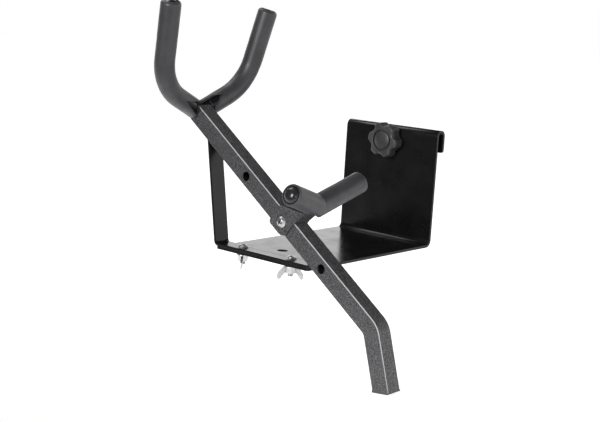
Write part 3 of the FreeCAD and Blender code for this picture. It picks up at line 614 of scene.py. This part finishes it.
# ---------------------------------------------------------------- screws
def cross_cutter(base, axis, turn, made):
    """Tapered cross-shaped recess cutter for a Phillips screw."""
    axis = Vector(axis).normalized()
    side = axis.orthogonal().normalized()
    side = Matrix.Rotation(turn, 3, axis) @ side
    up = axis.cross(side)
    outline = []
    wide, thin = 1.0, 0.55
    for quarter in range(4):
        c, s = math.cos(quarter * math.pi / 2), math.sin(quarter * math.pi / 2)
        for u, v in ((3.3, -thin), (3.3, thin), (wide * 0.8, wide * 0.8)):
            outline.append((u * c - v * s, u * s + v * c))
    vertices, faces = [], []
    levels = ((0.8, 1.05), (0.0, 1.0), (-1.7, 0.5), (-2.3, 0.12))
    for height, scale in levels:
        vertices += [base + (axis * height + side * u * scale + up * v * scale) * MM for u, v in outline]
    count = len(outline)
    for i in range(len(levels) - 1):
        for k in range(count):
            n = (k + 1) % count
            faces.append((i * count + k, i * count + n, (i + 1) * count + n, (i + 1) * count + k))
    faces.append(tuple(range(count)))
    faces.append(tuple(reversed(range((len(levels) - 1) * count, len(levels) * count))))
    return new_piece("cross_cutter", vertices, faces, made, smooth=False)


def thread_mesh(base, axis, radius, pitch, start, end, taper):
    """Vertices and faces of a threaded rod from start to end along its axis, in millimetres."""
    axis = Vector(axis).normalized()
    side = axis.orthogonal().normalized()
    up = axis.cross(side)
    sides, step = 36, pitch / 8
    rows = int((end - start) / step) + 1
    vertices, faces = [], []
    for i in range(rows):
        height = start + (end - start) * i / (rows - 1)
        for k in range(sides):
            phase = (height / pitch - k / sides) % 1.0
            depth = 0.55 * pitch * min(1.0, max(0.0, 1.25 * abs(2 * phase - 1) - 0.125))
            near_end = max(0.0, 1 - (end - height) / taper)
            near_start = max(0.0, 1 - (height - start) / 0.6)
            r = radius - max(depth * (1 - near_start), near_end * 0.16 * radius)
            angle = 2 * math.pi * k / sides
            outward = side * math.cos(angle) + up * math.sin(angle)
            vertices.append(base + (axis * height + outward * r) * MM)
    for i in range(rows - 1):
        for k in range(sides):
            n = (k + 1) % sides
            faces.append((i * sides + k, i * sides + n, (i + 1) * sides + n, (i + 1) * sides + k))
    faces.append(tuple(range(sides)))
    faces.append(tuple(reversed(range((rows - 1) * sides, rows * sides))))
    return vertices, faces


def pan_screw(name, seat, axis, length, turn, body):
    """Pan-head screw; axis points out of the head, and seat is the middle of the head's underside."""
    head = rounded_profile([(AXIS_R, 0, 0), (5.1, 0, 0.25), (5.1, 3.2, 2.3), (AXIS_R, 3.4, 0)], 8)
    vertices, faces = lathed(head, seat, axis, 72)
    head_piece = new_piece(name + "_head", vertices, faces, ZINC)
    # The recess cutter's faces carry the dark steel, as painted shade inside the cross.
    carve(head_piece, cross_cutter(seat + Vector(axis) * 3.3 * MM, axis, turn, RECESS_SHADE))
    auto_smooth(head_piece, 32)
    vertices, faces = thread_mesh(seat, -Vector(axis), 3.0, 1.0, -0.2, length, 1.1)
    rod = auto_smooth(new_piece(name + "_thread", vertices, faces, ZINC), 50)
    for piece in (head_piece, rod):
        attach(piece, body)
    return head_piece


left_head = pan_screw("shelf_screw_left", mm(-34.5, -212.5, BAR_TOP), (0, 0, 1), 18.4, 0.5, "rack")
pan_screw("shelf_screw_right", mm(34.5, -212.5, BAR_TOP), (0, 0, 1), 18.4, 1.1, "rack")
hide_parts("shelf_screws")
clip_head = pan_screw("clip_screw", CLIP_ORIGIN - mm(0, 12.2, 0), (0, -1, 0), 33.9, 0.35, "cradle")
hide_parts("clip_screw")


# ---------------------------------------------------------------- wing nuts
def wing_nut(side, x, turn):
    """Stamped wing nut: a flared hub and two cupped wings."""
    seat = mm(x, -212.5, SHELF_BOTTOM - 1.5)
    hub = rounded_profile(
        [(3.1, 0, 0.2), (6.6, 0, 0.5), (5.9, 2.0, 0.8), (5.1, 7.6, 0.9), (3.1, 7.6, 0.3)], 5)
    vertices, faces = lathed(hub, seat, (0, 0, -1), 48)
    outline = [(4.3, 0.9), (6.2, 0.7), (7.9, 1.3), (9.8, 3.4), (12.6, 6.8), (13.9, 9.4), (14.15, 12.2),
               (13.4, 14.0), (11.8, 14.4), (10.2, 13.6), (8.6, 11.0), (6.6, 8.0), (4.4, 6.6)]
    rotation = Matrix.Rotation(turn, 3, "Z")
    count = len(outline)
    middle_u = sum(u for u, _ in outline) / count
    middle_v = sum(v for _, v in outline) / count
    rings = ((-1.2, 0.9), (-1.2, 0.97), (-0.75, 1.0), (0.75, 1.0), (1.2, 0.97), (1.2, 0.9))
    for sign in (-1, 1):
        first = len(vertices)
        for thick, scale in rings:
            for u, v in outline:
                out = middle_u + (u - middle_u) * scale if u > 5 else u
                down = middle_v + (v - middle_v) * scale
                vertices.append(seat + rotation @ mm(sign * out, sign * thick, -down))
        for i in range(len(rings) - 1):
            for k in range(count):
                a, b = first + i * count + k, first + i * count + (k + 1) % count
                faces.append((a, b, b + count, a + count))
        faces.append(tuple(first + k for k in range(count)))
        faces.append(tuple(first + (len(rings) - 1) * count + k for k in reversed(range(count))))
    piece = new_piece("wing_nut_" + side + "_cast", vertices, faces, ZINC)
    auto_smooth(piece, 42)
    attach(piece, "nut_" + side)
    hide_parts("wing_nut_" + side)


wing_nut("left", -34.5, math.radians(126))
wing_nut("right", 34.5, math.radians(45))

# ---------------------------------------------------------------- clamp knob
KNOB_R = 20.5
KNOB_BACK_Y, KNOB_FRONT_Y = -10.6, -25.4
LOBES, LOBE_PHASE = 6, math.radians(22)
STEPS = 360


def lobed_radius():
    """Outline of the knob as one radius for each degree, with softened lobe corners."""
    radii = []
    for step in range(STEPS):
        angle = 2 * math.pi * step / STEPS
        radius = KNOB_R
        for lobe in range(LOBES):
            off = (angle - LOBE_PHASE - 2 * math.pi * lobe / LOBES + math.pi) % (2 * math.pi) - math.pi
            inside = (24.9 * math.cos(off)) ** 2 - (24.9 ** 2 - 8.0 ** 2)
            if abs(off) < 1.0 and inside > 0:
                radius = min(radius, 24.9 * math.cos(off) - math.sqrt(inside))
        radii.append(radius)
    radii = np.array(radii)
    kernel = np.exp(-0.5 * (np.arange(-8, 9) / 2.6) ** 2)
    kernel /= kernel.sum()
    return sum(weight * np.roll(radii, shift) for weight, shift in zip(kernel, range(-8, 9)))


def knob_piece():
    """Lobed grip with rounded rims, a recess on its face and a flat back round a bore."""
    outline = lobed_radius()
    back, front = [], []
    for i in range(7):
        turn = math.pi / 2 * i / 6
        back.append((KNOB_BACK_Y - 1.8 * (1 - math.cos(turn)), 1.8 * (1 - math.sin(turn))))
    for i in range(11):
        turn = math.pi / 2 * i / 10
        front.append((KNOB_FRONT_Y + 3.2 * (1 - math.sin(turn)), 3.2 * (1 - math.cos(turn))))
    rows = [[(4.05, KNOB_BACK_Y)] * STEPS, [(12.5, KNOB_BACK_Y)] * STEPS]
    rows += [[(r - inset, y) for r in outline] for y, inset in back]
    rows += [[(r - inset, y) for r in outline] for y, inset in front]
    rim = [(12.9, 0), (12.6, 0.08), (12.38, 0.3), (12.3, 0.6), (12.3, 3.0), (4.05, 3.0)]
    rows += [[(radius, KNOB_FRONT_Y + depth)] * STEPS for radius, depth in rim]
    vertices, faces = [], []
    for row in rows:
        for step, (radius, y) in enumerate(row):
            angle = 2 * math.pi * step / STEPS
            vertices.append(CLAMP_CENTRE + mm(radius * math.cos(angle), y, radius * math.sin(angle)))
    for i in range(len(rows)):
        j = (i + 1) % len(rows)
        for k in range(STEPS):
            n = (k + 1) % STEPS
            faces.append((i * STEPS + k, i * STEPS + n, j * STEPS + n, j * STEPS + k))
    return new_piece("clamp_grip", vertices, faces, GRIP)


grip = auto_smooth(knob_piece(), 40)
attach(grip, "knob")
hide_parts("clamp_knob")

cap_outline = rounded_profile([
    (AXIS_R, 0, 0), (10.3, 0, 0), (10.3, 2.2, 0.6), (8.9, 2.2, 0.2), (8.6, 1.75, 0.2), (8.1, 1.75, 0.2),
    (7.8, 2.2, 0.2), (7.2, 2.3, 0.2), (6.9, 1.9, 0.2), (6.4, 1.9, 0.2), (6.1, 2.25, 0.2),
    (AXIS_R, 2.4, 0),
], 4)
vertices, faces = lathed(cap_outline, CLAMP_CENTRE + mm(0, KNOB_FRONT_Y + 3.0, 0), (0, -1, 0), 96)
cap = auto_smooth(new_piece("grip_cap", vertices, faces, GRIP), 35)
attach(cap, "knob")
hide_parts("knob_cap")


# ---------------------------------------------------------------- weld beads
def weld_bead(name, line, radius, body, replaced=()):
    """Rippled bead of weld along a line of points in metres."""
    points = [Vector(p) for p in resample([tuple(p) for p in line], 0.00022)]
    radii = []
    for i, point in enumerate(points):
        ripple = 0.09 * abs(math.sin(i * 0.22 * math.pi / 1.25))
        near = min(i, len(points) - 1 - i) / 4
        rough = 0.9 + ripple + 0.1 * noise.noise(point * 400)
        radii.append(radius * MM * rough * min(1.0, math.sqrt(0.12 + near)))
    piece = swept(name, points, radii, WELD, 20)
    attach(piece, body)
    if replaced:
        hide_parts(*replaced)
    return piece


def bar_weld(name, middle, radius, replaced):
    """Bead across the arm's width, where the support bar is welded to it."""
    line = [middle + mm(0, y, 0) for y in (-8.2, 8.2)]
    weld_bead(name, line, radius, "rack", (replaced,))


def box_middle(node):
    """Middle of a CAD node's box."""
    low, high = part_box(node)
    return (low + high) / 2


bar_weld("weld_low", TUBE_ORIGIN + mm(-0.6, 0, 0.3), 2.1, "weld_bar_low")
bar_weld("weld_high", box_middle("weld_bar_high") + mm(-0.2, 0, 0.2), 1.7, "weld_bar_high")
bar_weld("weld_back", box_middle("weld_bar_back") + mm(0.4, 0, 0.2), 1.7, "weld_bar_back")

for side_name, sign in (("near", -1), ("far", 1)):
    centre = (0.0, sign * 10.9, 3.6)
    arc = []
    for i in range(13):
        turn = math.radians(-75 + 150 * i / 12)
        spot = mm(centre[0] + 8.4 * math.cos(turn), centre[1], centre[2] + 8.4 * math.sin(turn))
        arc.append(YOKE_ORIGIN + YOKE_TURN @ spot)
    weld_bead("weld_yoke_" + side_name, arc, 1.3, "rack")

web_run = []
for i in range(13):
    y = -10.5 + 21.0 * i / 12
    rise = max(0.0, abs(y) - 1.5) * math.tan(CRADLE_RISE)
    local = mm(17.1 - 0.358 * rise + 2.4, y, 39.8 + 0.934 * rise - 8.0)
    web_run.append(CLIP_ORIGIN + block_turn @ local)
weld_bead("weld_web", web_run, 1.3, "cradle")

# ---------------------------------------------------------------- floor, lights and camera
FLOOR_Z = cad_low.z - 0.0004
floor_corners = [Vector((x, y, FLOOR_Z)) for x, y in ((-7, -0.5), (7, -0.5), (7, 9), (-7, 9))]
pale = material(
    "pale_floor", (0.86, 0.86, 0.865), 0.85, Emission_Color=(1, 1, 1, 1), Emission_Strength=0.8)
ground = new_piece("floor", floor_corners, [(0, 1, 2, 3)], pale, smooth=False)

world = bpy.data.worlds.new("studio")
bpy.context.scene.world = world
world.use_nodes = True
tree = world.node_tree
tree.nodes.clear()
direction = tree.nodes.new("ShaderNodeTexCoord")
split = tree.nodes.new("ShaderNodeSeparateXYZ")
tree.links.new(direction.outputs["Generated"], split.inputs["Vector"])


def world_range(source, low, high, to_low, to_high, smooth):
    """Map range node of the studio's brightness."""
    node = tree.nodes.new("ShaderNodeMapRange")
    if smooth:
        node.interpolation_type = "SMOOTHSTEP"
    for socket, number in zip(RANGE_SOCKETS, (low, high, to_low, to_high)):
        node.inputs[socket].default_value = number
    tree.links.new(source, node.inputs["Value"])
    return node.outputs["Result"]


# A bright backdrop low behind the object, dim everywhere else.
glow = tree.nodes.new("ShaderNodeMath")
glow.operation = "MULTIPLY"
tree.links.new(world_range(split.outputs["Z"], 0.22, 0.55, 1.0, 0.0, True), glow.inputs[0])
tree.links.new(world_range(split.outputs["Y"], -0.25, 0.35, 0.0, 1.0, True), glow.inputs[1])
strength = world_range(glow.outputs["Value"], 0.0, 1.0, 0.08, 2.3, False)
studio = tree.nodes.new("ShaderNodeBackground")
tree.links.new(strength, studio.inputs["Strength"])
plain = tree.nodes.new("ShaderNodeBackground")
plain.inputs["Color"].default_value = (1, 1, 1, 1)
plain.inputs["Strength"].default_value = 1.0
seen = tree.nodes.new("ShaderNodeLightPath")
choose = tree.nodes.new("ShaderNodeMixShader")
tree.links.new(seen.outputs["Is Camera Ray"], choose.inputs["Fac"])
tree.links.new(studio.outputs["Background"], choose.inputs[1])
tree.links.new(plain.outputs["Background"], choose.inputs[2])
world_out = tree.nodes.new("ShaderNodeOutputWorld")
tree.links.new(choose.outputs["Shader"], world_out.inputs["Surface"])


def soft_light(name, place, aim, size, power):
    """Square area light that looks at a point."""
    lamp = bpy.data.lights.new(name, "AREA")
    lamp.shape = "SQUARE"
    lamp.size = size
    lamp.energy = power
    holder = bpy.data.objects.new(name, lamp)
    bpy.context.scene.collection.objects.link(holder)
    holder.location = place
    holder.rotation_euler = (Vector(aim) - Vector(place)).to_track_quat("-Z", "Y").to_euler()
    return holder


soft_light("key", (0.35, -2.15, 0.5), (0, -0.15, -0.05), 0.7, 46)
soft_light("fill", (1.9, -1.2, 0.1), (0, -0.15, -0.05), 0.7, 5)
soft_light("rim", (-1.2, -0.2, 1.6), (0, -0.15, -0.05), 1.0, 14)

azimuth, elevation, roll = math.radians(40.554), math.radians(9.986), math.radians(3.460)
level = math.cos(elevation)
back_axis = Vector((math.sin(azimuth) * level, -math.cos(azimuth) * level, math.sin(elevation)))
right_axis = Vector((math.cos(azimuth), math.sin(azimuth), 0))
up_axis = back_axis.cross(right_axis)
camera_x = right_axis * math.cos(roll) + up_axis * math.sin(roll)
camera_y = up_axis * math.cos(roll) - right_axis * math.sin(roll)
camera_data = bpy.data.cameras.new("camera")
camera_data.sensor_width = 36
camera_data.lens = 71.444
camera = bpy.data.objects.new("camera", camera_data)
bpy.context.scene.collection.objects.link(camera)
orientation = Matrix((camera_x, camera_y, back_axis)).transposed().to_4x4()
camera.matrix_world = Matrix.Translation(mm(829.53, -1132.09, 139.27)) @ orientation
bpy.context.scene.camera = camera
bpy.context.scene.view_settings.view_transform = "Standard"
